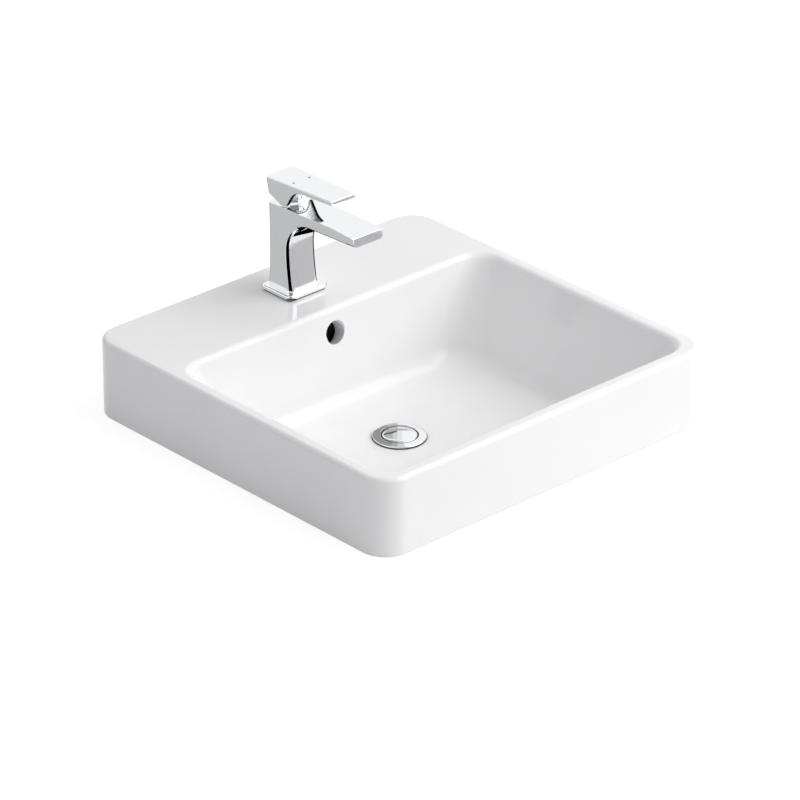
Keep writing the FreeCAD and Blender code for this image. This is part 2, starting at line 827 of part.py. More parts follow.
def lever_plan():
    z = body_top - dome_radius
    rear_y = tap_y + lever_rear
    tip_y = tap_y - lever_reach
    corners = [Vector(lever_tip_half_width, tip_y, z), Vector(lever_rear_half_width, rear_y, z),
               Vector(-lever_rear_half_width, rear_y, z), Vector(-lever_tip_half_width, tip_y, z)]
    tip_corner = 2 * lever_edge_radius
    radii = [tip_corner, lever_rear_corner_radius, lever_rear_corner_radius, tip_corner]
    wire = rounded_wire(corners, radii)
    return Part.Face(wire).extrude(Vector(0, 0, 4 * dome_radius))


def lever():
    body = lever_side().common(lever_plan())
    body = body.cut(Part.makeSphere(dome_radius + 2 * slip_clearance, Vector(0, tap_y, pivot_z)))
    half_x = spindle_thickness / 2 + running_clearance
    half_y = spindle_depth / 2 + running_clearance
    socket = box(-half_x, half_x, tap_y - half_y, tap_y + half_y, pivot_z, pivot_z + spindle_top + slip_clearance)
    body = body.cut(socket)
    body = body.cut(screw_hole(grub_screw_radius + running_clearance, lever_rear + lever_edge_radius))
    for side in (-1, 1):
        body = body.cut(dot(side, dot_radius + running_clearance))
    return body


def screw_hole(radius, reach):
    start = Vector(0, tap_y + spindle_depth / 2, body_top + grub_screw_height)
    return Part.makeCylinder(radius, reach - spindle_depth / 2, start, Vector(0, 1, 0))


def grub_screw():
    return screw_hole(grub_screw_radius, spindle_depth / 2 + grub_screw_length)


def dot(side, radius):
    """Round inlay in the lever's top face, square to it."""
    slope = (lever_top_tip - lever_top_rear) / (lever_rear + lever_reach)
    normal = Vector(0, slope, 1).normalize()
    height = body_top + lever_top_rear + slope * (lever_rear + dot_front)
    surface = Vector(side * dot_half_spacing, tap_y - dot_front, height)
    return Part.makeCylinder(radius, dot_depth, surface - normal * dot_depth, normal)


# Tap fastening

def horseshoe(bottom, top):
    plate = cylinder(washer_radius, bottom, top, 0, tap_y)
    slot = washer_slot_half_width
    clear_y = tap_y + stud_back - stud_radius - slip_clearance - stud_radius
    opening = box(-slot, slot, tap_y - washer_radius, clear_y, bottom, top)
    plate = plate.cut(opening)
    return plate.cut(cylinder(stud_radius + thread_clearance, bottom, top, 0, tap_y + stud_back))


def fixing_stud():
    top = deck_z - spigot_reach + stud_grip
    return cylinder(stud_radius, top - stud_length, top, 0, tap_y + stud_back)


def stud_nut():
    nut = hexagon(stud_nut_across_flats, washer_bottom - stud_nut_height, washer_bottom, 0, tap_y + stud_back)
    hole = cylinder(stud_radius + running_clearance, washer_bottom - stud_nut_height, washer_bottom,
                    0, tap_y + stud_back)
    return nut.cut(hole)


def main():
    os.makedirs("parts", exist_ok=True)
    save("basin_body", basin_body())

    save("waste_body", waste_body())
    save("flange_gasket", ring(flange_gasket_outer, flange_gasket_inner, seat_z, flange_bottom))
    cone, slip, nut = waste_fastening()
    save("cone_washer", cone)
    save("slip_washer", slip)
    save("waste_backnut", nut)
    save("plug_cap", plug_cap())
    save("plug_seal", plug_seal())
    save("plug_stem", plug_stem())
    save("plug_latch", latch_body())
    save("plug_spring", plug_spring())

    save("base_plate", base_plate())
    save("base_gasket", base_gasket())
    save("tap_body", tap_body())
    housing, insert, seal = aerator()
    save("aerator_housing", housing)
    save("aerator_insert", insert)
    save("aerator_seal", seal)

    save("cartridge_base", cartridge_base())
    save("cartridge_seals", base_seals())
    save("fixed_disc", fixed_disc())
    save("moving_disc", moving_disc())
    save("disc_carrier", disc_carrier())
    save("cartridge_housing", cartridge_housing())
    save("cartridge_rotor", rotor())
    save("pivot_pin", pivot_pin())
    save("lever_spindle", spindle())
    save("cartridge_nut", cartridge_nut())
    save("dome_cap", dome_cap())

    save("lever", lever())
    save("lever_grub_screw", grub_screw())
    save("hot_dot", dot(-1, dot_radius))
    save("cold_dot", dot(1, dot_radius))

    save("fixing_stud", fixing_stud())
    gasket_bottom = ledge_bottom - washer_gasket_height
    save("horseshoe_gasket", horseshoe(gasket_bottom, ledge_bottom))
    save("horseshoe_washer", horseshoe(washer_bottom, gasket_bottom))
    save("stud_nut", stud_nut())


if __name__ == "__main__":
    main()
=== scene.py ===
import json
import math

import bmesh
import bpy
from mathutils import Matrix, Vector

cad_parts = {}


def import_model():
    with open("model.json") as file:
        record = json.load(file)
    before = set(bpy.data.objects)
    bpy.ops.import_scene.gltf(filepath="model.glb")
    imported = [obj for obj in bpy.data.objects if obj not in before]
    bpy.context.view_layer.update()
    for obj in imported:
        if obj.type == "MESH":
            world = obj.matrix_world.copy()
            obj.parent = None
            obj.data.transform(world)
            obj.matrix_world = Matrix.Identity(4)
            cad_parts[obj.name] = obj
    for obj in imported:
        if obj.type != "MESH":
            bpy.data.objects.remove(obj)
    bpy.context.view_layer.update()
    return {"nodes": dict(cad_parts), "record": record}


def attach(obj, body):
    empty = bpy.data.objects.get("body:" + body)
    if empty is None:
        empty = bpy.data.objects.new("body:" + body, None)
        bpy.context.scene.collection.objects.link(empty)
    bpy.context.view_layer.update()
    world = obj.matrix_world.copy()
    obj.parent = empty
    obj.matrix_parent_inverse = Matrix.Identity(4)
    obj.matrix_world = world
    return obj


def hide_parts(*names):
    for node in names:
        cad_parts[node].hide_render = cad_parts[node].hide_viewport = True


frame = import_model()

# Sizes are in millimetres, as on the drawing, and each mesh is brought to metres when it is finished.
MM = 0.001

# Basin
HALF_WIDTH = 250.0
HALF_DEPTH = 247.0
DECK = 96.0
PLAN_CORNER = 34.0
RIM_EDGE = 6.0
FOOT_EDGE = 2.5
SKIRT = 12.0
LEDGE_UNDERSIDE = 82.0
RIM_HALF_WIDTH = 232.0
RIM_FRONT = -229.0
RIM_BACK = 112.0
FLOOR_EDGE = -21.0
SEAT = -28.0
SEAT_RADIUS = 36.0
LEAN_SIDE = 50.0
LEAN_BACK = 12.0
CORNER_TOP = 30.0
CORNER_FLOOR = 45.0
RIM_ROUND = 8.0
FLOOR_ROUND = 26.0
BOWL_WALL = 14.0
FLOOR_THICKNESS = 13.0
WASTE_HOLE = 23.0
WASTE_SINK = 27.0
BOSS_RADIUS = 38.0
BOSS_BOTTOM = -72.0
OVERFLOW_HEIGHT = 65.0
OVERFLOW_RADIUS = 13.7
OVERFLOW_FALL = 0.38
OVERFLOW_LIP = 0.9
PASSAGE_NEAR = 17.0
PASSAGE_FAR = 26.0
PASSAGE_HALF_WIDTH = 15.0
PASSAGE_ROOF = -44.0
PASSAGE_FLOOR = -58.0
PASSAGE_COVER = 8.0
PASSAGE_BEND = 18.0
HOLLOW_SHARE = 0.16
HOLLOW_CORNER = 46.0
BOSS_CHAMFER = 2.0
SEAT_DROP = 6.0
SMALL_FLAT = 0.3
WALL_HEIGHTS = [82, 65, 45, 25, 8, -2]
BEND_HEIGHTS = [-5, -8, -10.5, -13, -15, -17, -18.5, -19.6, -20.5, -21.2, -21.8, -22.3, -22.8]
FLOOR_HEIGHTS = [-24, -25.5, -27, SEAT]
UNDER_FLOOR_HEIGHTS = [-40.5, -38, -36, -34, -31.5, -29, -26, -22, -18]
UNDER_WALL_HEIGHTS = [8, 30, 55]
CORNER_STEPS = 12
ROUND_STEPS = 8

# Tap
TAP_Y = 178.0
TAP_HOLE = 17.5
PLATE_BOTTOM = 97.0
PLATE_TOP = 103.0
PLATE_HALF_X = 30.0
PLATE_HALF_Y = 26.4
PLATE_BACK = 1.7
PLATE_CORNER = 7.0
PLATE_EDGE = 2.6
SPIGOT_RADIUS = 16.0
SPIGOT_BOTTOM = 90.0
BODY_TOP = 207.0
WAIST = 151.0
BODY_EDGE = 6.5
BODY_HALF_WIDTH = 22.3
REAR_EDGE = 4.5
REAR_Y = 197.0
SPOUT_EDGE = 5.0
RECESS_FLOOR = 200.0
SHOULDER_Y = 199.5
KNEE_Y = 95.0
KNEE_RISE = 3.5
TIP_Y = 53.0
TIP_FALL = 1.0
TIP_RAKE = 0.8
ARCH_Y = 128.0
ARCH_Z = 156.6
ARCH_RADIUS = 38.0
ARCH_TURN = 87
SHOULDER_TURN = 27
COLUMN_FRONT = 166.0
COLUMN_BACK = 198.6
FRONT_FLARE = 5.0
BACK_FLARE = 2.3
BACK_SWELL = 0.9
FLARE_CURVE = 1.6
SWELL_CURVE = 1.5
UNDER_SPOUT = 193.0
UNDER_SPOUT_RISE = 4.9
FINE_EDGE = 0.5
NUT_RADIUS = 14.2
CARTRIDGE_RADIUS = 12.7
SOCKET_FLOOR = 185.0
AERATOR_RADIUS = 9.0
AERATOR_Y = 67.0
AERATOR_BOTTOM = 190.0
AERATOR_TOP = 205.1
INLET_RADIUS = 5.5
INLET_X = 8.0
INLET_FORWARD = 2.0
INLET_DEPTH = 14.0
STUD_RADIUS = 4.05
STUD_BACK = 11.0
STUD_DEPTH = 12.0
PIVOT = 208.0
DOME_RADIUS = 17.5
DOME_MOUTH = 13.0
DOME_WALL = 1.8
DOME_GAP = 0.3

# Lever: its side outline as (y, z, corner radius), from the heel over the top to the tip and back underneath
LEVER_SIDE = [
    (205.0, 236.8, 0), (94.0, 240.3, 0), (94.0, 235.2, 0), (156.2, 232.3, 18), (170.0, 209.6, 0),
    (181.3, 210.4, 0), (201.5, 218.8, 0),
]
LEVER_TIP_HALF = 18.0
LEVER_TIP_Y = 94.0
LEVER_SPREAD = 3.5 / 108.0
LEVER_EDGE = 0.8
HEEL_EDGE = 5.0
HEEL_Y = 203.0
BALL_GAP = 0.6
DOT_X = 11.8
DOT_FORWARD = 12.5
DOT_Z = 238.049
DOT_SLOPE = 3.4 / 108.0
DOT_OUTLINE = [(0, -0.6), (1.5, -0.6), (1.5, 0.02), (1.3, 0.10), (0.7, 0.14), (0, 0.15)]

# Waste
TUBE_BORE = 18.5
TUBE_RADIUS = 20.95
TUBE_END = -108.0
FLANGE_RADIUS = 31.4
FLANGE_UNDERSIDE = -26.6
WINDOW = (50, 16, 11)
WINDOW_Z = -49.5
CAP_RADIUS = 20.6
CAP_TOP = -23.4
CAP_RISE = 1.6

# View: the photograph's camera, with its lens in picture widths
VIEW_RIGHT = Vector((0.7371, -0.6758, 0.0))
VIEW_BACK = Vector((-0.6015, -0.6561, 0.4558))
VIEW_PLACE = Vector((-3491.8, -3809.1, 2665.4))
VIEW_LENS = 5107.3 / 800

# Stage
FLOOR_RADIUS = 9000.0
FLOOR_GAP = 0.05
FLOOR_INSET = 6.0
CARD_LEVEL = 97.3
WASTE_CARD_LEVEL = -18.5
WASTE_CARD_GAP = 6.0


def linear(hex_colour):
    """sRGB hex to the linear RGBA that a shader takes."""
    parts = [int(hex_colour[i:i + 2], 16) / 255 for i in (1, 3, 5)]
    return [p / 12.92 if p <= 0.04045 else ((p + 0.055) / 1.055) ** 2.4 for p in parts] + [1.0]


def add(tree, kind, sockets=None, **settings):
    """Adds one node: settings are its properties, sockets its inputs as values or as links."""
    node = tree.nodes.new(kind)
    for name, value in settings.items():
        setattr(node, name, value)
    for name, value in (sockets or {}).items():
        if isinstance(value, bpy.types.NodeSocket):
            tree.links.new(value, node.inputs[name])
        else:
            node.inputs[name].default_value = value
    return node


def new_material(name):
    material = bpy.data.materials.new(name)
    material.use_nodes = True
    material.node_tree.nodes.clear()
    return material, material.node_tree


def show(tree, shader):
    add(tree, "ShaderNodeOutputMaterial", {"Surface": shader})


# Materials

def china_glaze():
    """Vitreous china under a fired white glaze: glassy, with a very slight orange peel."""
    material, tree = new_material("vitreous china glaze")
    place = add(tree, "ShaderNodeTexCoord").outputs["Object"]
    cloud = add(tree, "ShaderNodeTexNoise", {"Vector": place, "Scale": 1 / (90 * MM), "Detail": 2.0})
    colour = add(tree, "ShaderNodeValToRGB", {"Fac": cloud.outputs["Fac"]})
    colour.color_ramp.elements[0].position = 0.35
    colour.color_ramp.elements[0].color = linear("#EFEFEF")
    colour.color_ramp.elements[1].position = 0.65
    colour.color_ramp.elements[1].color = linear("#F1F1F1")
    peel = add(tree, "ShaderNodeTexNoise", {"Vector": place, "Scale": 1 / (7 * MM), "Detail": 1.0})
    bump = add(tree, "ShaderNodeBump", {
        "Height": peel.outputs["Fac"], "Strength": 0.012, "Distance": 0.4 * MM})
    show(tree, add(tree, "ShaderNodeBsdfPrincipled", {
        "Base Color": colour.outputs["Color"], "Roughness": 0.07, "IOR": 1.36,
        "Normal": bump.outputs["Normal"]}).outputs["BSDF"])
    return material


def chrome_plate():
    """Bright chrome on polished brass: a mirror, a little hazy where hands and cloths go."""
    material, tree = new_material("bright chrome plate")
    place = add(tree, "ShaderNodeTexCoord").outputs["Object"]
    haze = add(tree, "ShaderNodeTexNoise", {"Vector": place, "Scale": 1 / (22 * MM), "Detail": 3.0})
    rough = add(tree, "ShaderNodeMapRange", {"Value": haze.outputs["Fac"], "To Min": 0.03, "To Max": 0.07})
    show(tree, add(tree, "ShaderNodeBsdfPrincipled", {
        "Base Color": linear("#F2F3F4"), "Metallic": 1.0,
        "Roughness": rough.outputs["Result"]}).outputs["BSDF"])
    return material


def turned_metal(name, colour, dark, ring_mm):
    """Machined metal: fine rings round the upright axis, drawn coarse enough to show."""
    material, tree = new_material(name)
    place = add(tree, "ShaderNodeTexCoord").outputs["Object"]
    rings = add(tree, "ShaderNodeTexWave", {"Vector": place, "Scale": 1 / (ring_mm * MM) / (2 * math.pi),
                                            "Distortion": 0.6, "Detail": 2.0}, bands_direction="Z")
    tone = add(tree, "ShaderNodeMix", {
        "Factor": rings.outputs["Fac"], "A": linear(dark), "B": linear(colour)}, data_type="RGBA")
    bump = add(tree, "ShaderNodeBump", {
        "Height": rings.outputs["Fac"], "Strength": 0.15, "Distance": 0.05 * MM})
    show(tree, add(tree, "ShaderNodeBsdfPrincipled", {
        "Base Color": tone.outputs["Result"], "Metallic": 1.0, "Roughness": 0.32,
        "Normal": bump.outputs["Normal"]}).outputs["BSDF"])
    return material


def moulded(name, colour, roughness, grain_mm):
    """Moulded rubber, plastic or fired clay: an even colour with the fine grain of its mould."""
    material, tree = new_material(name)
    place = add(tree, "ShaderNodeTexCoord").outputs["Object"]
    grain = add(tree, "ShaderNodeTexNoise", {"Vector": place, "Scale": 1 / (grain_mm * MM), "Detail": 3.0})
    rough = add(tree, "ShaderNodeMapRange", {"Value": grain.outputs["Fac"], "To Min": roughness - 0.06,
                                             "To Max": roughness + 0.06})
    bump = add(tree, "ShaderNodeBump", {
        "Height": grain.outputs["Fac"], "Strength": 0.12, "Distance": 0.1 * MM})
    show(tree, add(tree, "ShaderNodeBsdfPrincipled", {
        "Base Color": linear(colour), "Roughness": rough.outputs["Result"], "IOR": 1.48,
        "Normal": bump.outputs["Normal"]}).outputs["BSDF"])
    return material


def painted_shade_recess_material():
    """Hollow under the lever in painted shade: a satin grey, darker than the chrome, in the middle, and black
    along its two edges.
    """
    material, tree = new_material("unpolished casting")
    place = add(tree, "ShaderNodeTexCoord").outputs["Object"]
    across = add(tree, "ShaderNodeSeparateXYZ", {"Vector": place}).outputs["X"]
    off_middle = add(tree, "ShaderNodeMath", {0: across}, operation="ABSOLUTE").outputs[0]
    # The black toward the hollow's two edges is painted shade, for the dark gap round the dome.
    share = add(tree, "ShaderNodeMapRange", {"Value": off_middle, "From Min": 13.5 * MM, "From Max": 17 * MM})
    tone = add(tree, "ShaderNodeValToRGB", {"Fac": share.outputs["Result"]})
    tone.color_ramp.elements[0].color = linear("#D4D5D6")
    tone.color_ramp.elements[1].color = linear("#040404")
    show(tree, add(tree, "ShaderNodeBsdfPrincipled", {
        "Base Color": tone.outputs["Color"], "Specular Tint": tone.outputs["Color"], "Metallic": 1.0,
        "Roughness": 0.4}).outputs["BSDF"])
    return material


glaze = china_glaze()
chrome = chrome_plate()
brass = turned_metal("machined brass", "#C9A765", "#B08E4C", 0.8)
steel = turned_metal("plain steel", "#B9BBBE", "#9C9EA2", 0.8)
rubber = moulded("black moulded rubber", "#1B1B1C", 0.62, 0.9)
white_acetal = moulded("white acetal", "#E9E8E4", 0.38, 1.2)
grey_acetal = moulded("grey acetal", "#7B7E82", 0.40, 1.2)
alumina = moulded("ground alumina", "#E4DFD3", 0.30, 0.7)
red_enamel = moulded("red enamel", "#A50A2A", 0.22, 1.0)
blue_enamel = moulded("blue enamel", "#12224A", 0.22, 1.0)
recess_painted_shade = painted_shade_recess_material()
clay = moulded("bare fired clay", "#DCDCDE", 0.70, 0.9)
# Near black: painted shade for the dark inside of the overflow passage, not the clay's own colour.
passage_painted_shade = moulded("dark bare clay", "#151516", 0.80, 0.9)

SLOT_MATERIALS = {
    "glaze": glaze, "chrome": chrome, "steel": steel, "brass": brass, "rubber": rubber,
    "white_plastic": white_acetal, "grey_plastic": grey_acetal, "disc_ceramic": alumina,
    "red": red_enamel, "blue": blue_enamel,
}
for entry in frame["record"]["subparts"]:
    node_mesh = frame["nodes"][entry["node"]].data
    node_mesh.materials.clear()
    node_mesh.materials.append(SLOT_MATERIALS[entry["material_slot"]])


# Making and finishing meshes

def as_object(name, bm):
    """A closed mesh in metres, at the origin."""
    bmesh.ops.remove_doubles(bm, verts=bm.verts, dist=0.002)
    bmesh.ops.recalc_face_normals(bm, faces=bm.faces)
    bmesh.ops.scale(bm, vec=Vector((MM, MM, MM)), verts=bm.verts)
    mesh = bpy.data.meshes.new(name)
    bm.to_mesh(mesh)
    bm.free()
    made = bpy.data.objects.new(name, mesh)
    bpy.context.scene.collection.objects.link(made)
    return made


def carve(target, tools, operation="DIFFERENCE"):
    """Cuts tools from the target, or joins them to it, and throws the tools away."""
    for tool in tools:
        cut = target.modifiers.new("carve", "BOOLEAN")
        cut.operation = operation
        cut.solver = "EXACT"
        cut.material_mode = "TRANSFER"
        cut.object = tool
    whole = bpy.data.meshes.new_from_object(target.evaluated_get(bpy.context.evaluated_depsgraph_get()))
    target.modifiers.clear()
    target.data = whole
    for tool in tools:
        bpy.data.objects.remove(tool)


def dress(made, body, slot, *stands_for, edge=0.0, sharp=35.0):
    """Gives a finished mesh its edges, shading, material and place in the frame."""
    mesh = made.data
    if not any(mesh.materials):
        mesh.materials.clear()
        mesh.materials.append(SLOT_MATERIALS[slot])
    if edge:
        eased = made.modifiers.new("eased edges", "BEVEL")
        eased.width = edge * MM
        eased.segments = 2
        eased.limit_method = "ANGLE"
        eased.angle_limit = math.radians(sharp)
    mesh.shade_smooth()
    if not edge:
        mesh.set_sharp_from_angle(angle=math.radians(sharp))
    even = made.modifiers.new("flat faces stay flat", "WEIGHTED_NORMAL")
    even.keep_sharp = True
    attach(made, body)
    if stands_for:
        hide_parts(*stands_for)
    return made


def spun(name, outline, centre=(0.0, 0.0, 0.0), axis=(0.0, 0.0, 1.0), steps=96, ring=False):
    """Solid of revolution from (radius, height) points: axis to axis or, for a ring, a closed loop."""
    bm = bmesh.new()
    points = [bm.verts.new((r, 0.0, h)) for r, h in outline]
    edges = [bm.edges.new((points[i - 1], points[i])) for i in range(0 if ring else 1, len(points))]
    bmesh.ops.spin(bm, geom=points + edges, cent=(0, 0, 0), axis=(0, 0, 1), dvec=(0, 0, 0),
                   angle=2 * math.pi, steps=steps, use_merge=True)
    turn = Vector((0, 0, 1)).rotation_difference(Vector(axis)).to_matrix().to_4x4()
    bmesh.ops.transform(bm, matrix=Matrix.Translation(centre) @ turn, verts=bm.verts)
    return as_object(name, bm)


def arc(centre, radius, start, end, steps):
    """Points round a circle in the (radius, height) plane, angles in degrees."""
    turns = [math.radians(start + (end - start) * i / steps) for i in range(steps + 1)]
    return [(centre[0] + radius * math.cos(a), centre[1] + radius * math.sin(a)) for a in turns]


def drum(name, radius, bottom, top, x=0.0, y=0.0, steps=64):
    """Upright cylinder."""
    return spun(name, [(0, bottom), (radius, bottom), (radius, top), (0, top)], (x, y, 0), steps=steps)


def side_outline(bm, corners, x):
    """Face in an upright fore-and-aft plane, each (y, z, radius) corner rounded."""
    verts = [bm.verts.new((x, y, z)) for y, z, _ in corners]
    face = bm.faces.new(verts)
    count = len(corners)
    for i, (y, z, radius) in enumerate(corners):
        if not radius:
            continue
        here = Vector((y, z))
        to_last = Vector(corners[i - 1][:2]) - here
        to_next = Vector(corners[(i + 1) % count][:2]) - here
        reach = radius / math.tan(to_last.angle(to_next) / 2)
        bmesh.ops.bevel(bm, geom=[verts[i]], offset=reach, offset_type="OFFSET", segments=ROUND_STEPS * 2,
                        profile=0.5, affect="VERTICES", material=-1)
    return bm.faces[:]


def slab(corners, half):
    """Side outline given its thickness, half to each side of the middle."""
    bm = bmesh.new()
    made = bmesh.ops.extrude_face_region(bm, geom=side_outline(bm, corners, -half))["geom"]
    verts = [g for g in made if isinstance(g, bmesh.types.BMVert)]
    bmesh.ops.translate(bm, vec=(2 * half, 0, 0), verts=verts)
    return bm


def extend(bm, loop):
    """Extrudes a loop of edges, and gives the new vertices and the new loop."""
    made = bmesh.ops.extrude_edge_only(bm, edges=loop)["geom"]
    verts = [g for g in made if isinstance(g, bmesh.types.BMVert)]
    return verts, [g for g in made if isinstance(g, bmesh.types.BMEdge) and len(g.link_faces) == 1]


# Basin

def rounded_loop(bm):
    """Loop of edges whose vertices remember their corner and their turn round it."""
    corner = bm.verts.layers.float_vector.new("corner")
    turn = bm.verts.layers.float_vector.new("turn")
    per_corner = CORNER_STEPS + 1
    made = bmesh.ops.create_circle(bm, segments=4 * per_corner, radius=1.0)
    signs = [(1, 1, 0), (-1, 1, 0), (-1, -1, 0), (1, -1, 0)]
    for i, vert in enumerate(made["verts"]):
        quarter, step = divmod(i, per_corner)
        angle = math.radians(90 * quarter + 90 * step / CORNER_STEPS)
        vert[corner] = Vector(signs[quarter])
        vert[turn] = Vector((math.cos(angle), math.sin(angle), 0))
    return made["verts"]


def settle(bm, verts, ring):
    """Puts a loop's vertices on a rounded rectangle; the back corners may have a height of their own."""
    corner = bm.verts.layers.float_vector["corner"]
    turn = bm.verts.layers.float_vector["turn"]
    half_x, front, back, radius, z, back_z = ring
    for vert in verts:
        at, to = vert[corner], vert[turn]
        x = (half_x - radius) * at.x
        y = back - radius if at.y > 0 else front + radius
        vert.co = (x + radius * to.x, y + radius * to.y, back_z if at.y > 0 else z)


def level(half_x, front, back, radius, z):
    """Ring with its back at the height of its front."""
    return half_x, front, back, radius, z, z


def round_ring(radius, z):
    """Ring that is round, but for a small flat between its corners."""
    return level(radius, -radius, radius, radius - SMALL_FLAT, z)


def outer_ring(inset, z):
    """Ring on the outer wall."""
    return level(HALF_WIDTH - inset, inset - HALF_DEPTH, HALF_DEPTH - inset, PLAN_CORNER - inset, z)


def inset_at(z, lean, run):
    """How far the bowl stands in from its rim at height z: rim round, wall, floor round and floor."""
    height = DECK - FLOOR_EDGE
    tilt = math.atan2(lean, height)
    rim_reach = RIM_ROUND / math.tan(math.pi / 4 + tilt / 2)
    if z > DECK - rim_reach * math.cos(tilt):
        drop = max(-1.0, min(1.0, (z - DECK + RIM_ROUND) / RIM_ROUND))
        return RIM_ROUND * math.sqrt(1 - drop * drop) - rim_reach
    fall = math.atan2(FLOOR_EDGE - SEAT, run)
    wall = Vector((-math.sin(tilt), math.cos(tilt)))
    bottom = Vector((math.cos(fall), -math.sin(fall)))
    half = wall.angle(bottom) / 2
    reach = FLOOR_ROUND / math.tan(half)
    edge = Vector((lean, FLOOR_EDGE))
    if z > (edge + wall * reach).y:
        return (DECK - z) * math.tan(tilt)
    if z > (edge + bottom * reach).y:
        centre = edge + (wall + bottom).normalized() * (FLOOR_ROUND / math.sin(half))
        return centre.x - math.sqrt(max(0.0, FLOOR_ROUND ** 2 - (z - centre.y) ** 2))
    return lean + (FLOOR_EDGE - z) / math.tan(fall)


def bowl_ring(z):
    """Ring on the bowl's inside."""
    side_run = RIM_HALF_WIDTH - LEAN_SIDE - SEAT_RADIUS
    front_run = -RIM_FRONT - LEAN_SIDE - SEAT_RADIUS
    back_run = RIM_BACK - LEAN_BACK - SEAT_RADIUS
    side = inset_at(z, LEAN_SIDE, side_run)
    front = inset_at(z, LEAN_SIDE, front_run)
    back = inset_at(z, LEAN_BACK, back_run)
    if side < LEAN_SIDE:
        radius = CORNER_TOP + (CORNER_FLOOR - CORNER_TOP) * max(side, 0) / LEAN_SIDE - min(side, 0)
    else:
        radius = CORNER_FLOOR + (SEAT_RADIUS - 1 - CORNER_FLOOR) * (side - LEAN_SIDE) / side_run
    return level(RIM_HALF_WIDTH - side, RIM_FRONT + front, RIM_BACK - back, radius, z)


def under_ring(z, drop):
    """Ring on the bowl's outside, a wall's thickness out from the inside ring drop higher."""
    half_x, front, back, radius, _, _ = bowl_ring(z + drop)
    return level(half_x + BOWL_WALL, front - BOWL_WALL, back + BOWL_WALL, radius + BOWL_WALL, z)


def bowl_heights():
    """Heights of the bowl's rings, close together in the rim's and the floor's rounds."""
    turns = [math.radians(84 * i / ROUND_STEPS) for i in range(ROUND_STEPS + 1)]
    rim = [DECK - RIM_ROUND * (1 - math.cos(turn)) for turn in turns]
    return rim + WALL_HEIGHTS + BEND_HEIGHTS + FLOOR_HEIGHTS


def basin_rings():
    """The casting's rings: out along its underside, up its outer wall, over the rim and down the bowl."""
    hollow_top = DECK - HOLLOW_SHARE * (DECK - FLOOR_EDGE)
    inner_x = HALF_WIDTH - SKIRT
    inner_y = HALF_DEPTH - SKIRT
    rings = [round_ring(WASTE_HOLE, BOSS_BOTTOM),
             round_ring(BOSS_RADIUS - BOSS_CHAMFER, BOSS_BOTTOM),
             round_ring(BOSS_RADIUS, BOSS_BOTTOM + BOSS_CHAMFER),
             round_ring(BOSS_RADIUS, SEAT - FLOOR_THICKNESS)]
    rings += [under_ring(z, FLOOR_THICKNESS) for z in UNDER_FLOOR_HEIGHTS]
    rings += [under_ring(z, 0.0) for z in UNDER_WALL_HEIGHTS]
    rings.append((inner_x, -inner_y, RIM_BACK + BOWL_WALL, HOLLOW_CORNER, hollow_top, LEDGE_UNDERSIDE))
    rings.append((inner_x, -inner_y, inner_y, PLAN_CORNER - SKIRT, hollow_top, LEDGE_UNDERSIDE))
    rings.append(level(inner_x, -inner_y, inner_y, PLAN_CORNER - SKIRT, 0.0))
    rings += [outer_ring(FOOT_EDGE - x, FOOT_EDGE + y) for x, y in arc((0, 0), FOOT_EDGE, -90, 0, 4)]
    rim = arc((0, 0), RIM_EDGE, 0, 90, ROUND_STEPS)
    rings += [outer_ring(RIM_EDGE - x, DECK - RIM_EDGE + y) for x, y in rim]
    rings += [bowl_ring(z) for z in bowl_heights()]
    rings += [round_ring(WASTE_SINK, SEAT), round_ring(WASTE_HOLE, SEAT - SEAT_DROP)]
    rings.append(round_ring(WASTE_HOLE, BOSS_BOTTOM))
    return rings


def basin():
    """Casting, with its overflow passage and tap hole."""
    rings = basin_rings()
    bm = bmesh.new()
    settle(bm, rounded_loop(bm), rings[0])
    loop = bm.edges[:]
    for ring in rings[1:]:
        verts, loop = extend(bm, loop)
        settle(bm, verts, ring)
    body = as_object("ceramic_basin", bm)
    cover = overflow_passage("passage_cover", PASSAGE_COVER)
    passage = overflow_passage("passage", 0.0)
    tap_hole = drum("tap_hole", TAP_HOLE, LEDGE_UNDERSIDE - 4, DECK + 4, 0, TAP_Y)
    # The passage's inside is cut in the painted shade material.
    for form, coat in ((body, glaze), (cover, glaze), (passage, passage_painted_shade), (tap_hole, glaze)):
        form.data.materials.append(coat)
    carve(body, [cover], "UNION")
    carve(body, [passage, overflow_hole(), tap_hole])
    return dress(body, "basin", "glaze", "basin_body", sharp=50)


def bowl_back(z):
    """Where the bowl's back wall stands at height z."""
    return RIM_BACK - LEAN_BACK * (DECK - z) / (DECK - FLOOR_EDGE)


def overflow_passage(name, grow):
    """Passage behind the bowl and forward under its floor to the waste, or its cover when grown."""
    top = LEDGE_UNDERSIDE + 4 if grow else OVERFLOW_HEIGHT + OVERFLOW_RADIUS + 1
    near, far = PASSAGE_NEAR - grow, PASSAGE_FAR + grow
    start = WASTE_HOLE + 3 if grow else 0.0
    corners = [
        (bowl_back(top) + near, top, 0),
        (bowl_back(top) + far, top, 0),
        (bowl_back(PASSAGE_FLOOR) + far, PASSAGE_FLOOR - grow, PASSAGE_BEND + grow),
        (start, PASSAGE_FLOOR - grow, 0),
        (start, PASSAGE_ROOF + grow, 0),
        (bowl_back(PASSAGE_ROOF) + near, PASSAGE_ROOF + grow, 0),
    ]
    return as_object(name, slab(corners, PASSAGE_HALF_WIDTH + grow))


